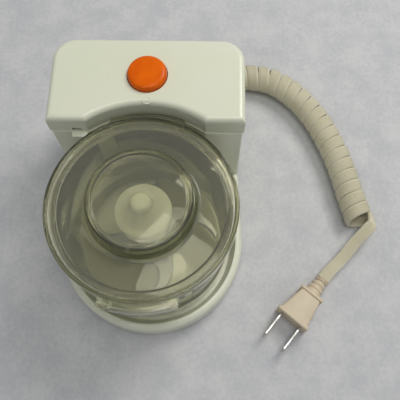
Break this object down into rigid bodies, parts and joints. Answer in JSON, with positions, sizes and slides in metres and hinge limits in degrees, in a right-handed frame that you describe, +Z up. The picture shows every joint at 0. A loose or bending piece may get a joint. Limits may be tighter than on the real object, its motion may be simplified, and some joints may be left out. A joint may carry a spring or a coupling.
{
  "type": "food processor",
  "caption": "Small food processor: cream motor tower with an orange push button, round base, smoke-tinted bowl with a twist-lock lid and blade hub, and a curly cord with a plug.",
  "frame": {"origin": "on the surface that the feet stand on, under the middle of the body without its cord", "axes": "+Z up, +Y from the bowl towards the motor tower at the rear, +X to the right seen from the bowl's side"},
  "size_m": [0.1818, 0.1837, 0.0857],
  "materials": {
    "cream_plastic": "satin moulded",
    "rubber": "matt",
    "clear_silicone": "clear, soft",
    "steel": "ground",
    "inner_plastic": "moulded",
    "black_plastic": "moulded",
    "lamination_steel": "dark varnished",
    "copper": "enamelled copper",
    "bronze": "sintered",
    "carbon": "matt",
    "orange_plastic": "satin moulded",
    "smoke_plastic": "clear, smoke tinted",
    "milky_plastic": "translucent milky",
    "lead_insulation": "insulated wire",
    "cord_vinyl": "soft vinyl"
  },
  "bodies": {
    "housing": {"bottom_cover": "cream_plastic", "bottom_screw_1": "steel", "bottom_screw_2": "steel", "bottom_screw_3": "steel", "bottom_screw_4": "steel", "brush_holder_left": "bronze", "brush_holder_right": "bronze", "carbon_brush_left": "carbon", "carbon_brush_right": "carbon", "chassis_plate": "inner_plastic", "cord_coil": "cord_vinyl", "cord_lead": "cord_vinyl", "cord_tail": "cord_vinyl", "drive_belt": "rubber", "field_coil_left": "copper", "field_coil_right": "copper", "foot_1": "rubber", "foot_2": "rubber", "foot_3": "rubber", "foot_4": "rubber", "housing_shell": "cream_plastic", "interlock_switch": "black_plastic", "lead_live": "lead_insulation", "lead_neutral": "lead_insulation", "lower_motor_bushing": "bronze", "motor_bracket_lower": "black_plastic", "motor_bracket_upper": "black_plastic", "motor_mount_plate": "inner_plastic", "motor_stator": "lamination_steel", "plug_blade_left": "steel", "plug_blade_right": "steel", "plug_body": "cord_vinyl", "spindle_bushing": "bronze", "spindle_seal": "rubber", "strain_relief": "cord_vinyl", "switch_body": "black_plastic", "top_cover": "cream_plastic", "upper_motor_bushing": "bronze"},
    "rotor": {"motor_shaft": "steel", "armature_core": "lamination_steel", "armature_winding_upper": "copper", "armature_winding_lower": "copper", "commutator": "copper", "cooling_fan": "black_plastic", "motor_pulley": "inner_plastic"},
    "spindle": {"spindle_shaft": "steel", "spindle_pulley": "inner_plastic"},
    "bowl": {"bowl": "smoke_plastic"},
    "blades": {"blade_hub": "milky_plastic", "blade_lower": "steel", "blade_upper": "steel"},
    "seal": {"lid_seal": "clear_silicone"},
    "lid": {"lid": "smoke_plastic"},
    "button": {"button": "orange_plastic", "button_spring": "steel"},
    "plunger": {"switch_plunger": "inner_plastic"},
    "interlock_pin": {"interlock_pin": "inner_plastic"}
  },
  "joints": [
    {"name": "motor_spin", "type": "hinge", "parent": "housing", "child": "rotor", "pos_m": [0, 0.05125, 0.03], "axis": [0, 0, 1], "continuous": true},
    {"name": "spindle_spin", "type": "hinge", "parent": "housing", "child": "spindle", "pos_m": [0, -0.01925, 0.02], "axis": [0, 0, 1], "continuous": true},
    {"name": "bowl_lift", "type": "slide", "parent": "housing", "child": "bowl", "axis": [0, 0, 1], "range_m": [0, 0.06]},
    {"name": "blade_spin", "type": "hinge", "parent": "bowl", "child": "blades", "pos_m": [0, -0.01925, 0.03], "axis": [0, 0, 1], "continuous": true},
    {"name": "lid_lift", "type": "slide", "parent": "bowl", "child": "seal", "axis": [0, 0, 1], "range_m": [0, 0.07]},
    {"name": "lid_turn", "type": "hinge", "parent": "seal", "child": "lid", "pos_m": [0, -0.01925, 0.073], "axis": [0, 0, 1], "range_deg": [0, 12]},
    {"name": "button_press", "type": "slide", "parent": "housing", "child": "button", "axis": [0, 0, -1], "range_m": [0, 0.003], "stiffness_N_per_m": 400, "springref_m": -0.003, "deforming": ["button_spring"]},
    {"name": "plunger_press", "type": "slide", "parent": "housing", "child": "plunger", "axis": [0, 0, -1], "range_m": [0, 0.003]},
    {"name": "interlock_push", "type": "slide", "parent": "housing", "child": "interlock_pin", "axis": [-0.5225, 0.8526, 0], "range_m": [0, 0.0016]}
  ],
  "couplings": [
    {"joint": "spindle_spin", "follows": "motor_spin", "ratio": 0.3},
    {"joint": "blade_spin", "follows": "motor_spin", "ratio": 0.3},
    {"joint": "plunger_press", "follows": "button_press", "ratio": 1},
    {"joint": "interlock_push", "follows": "lid_turn", "m_per_rad": 0.0076}
  ]
}
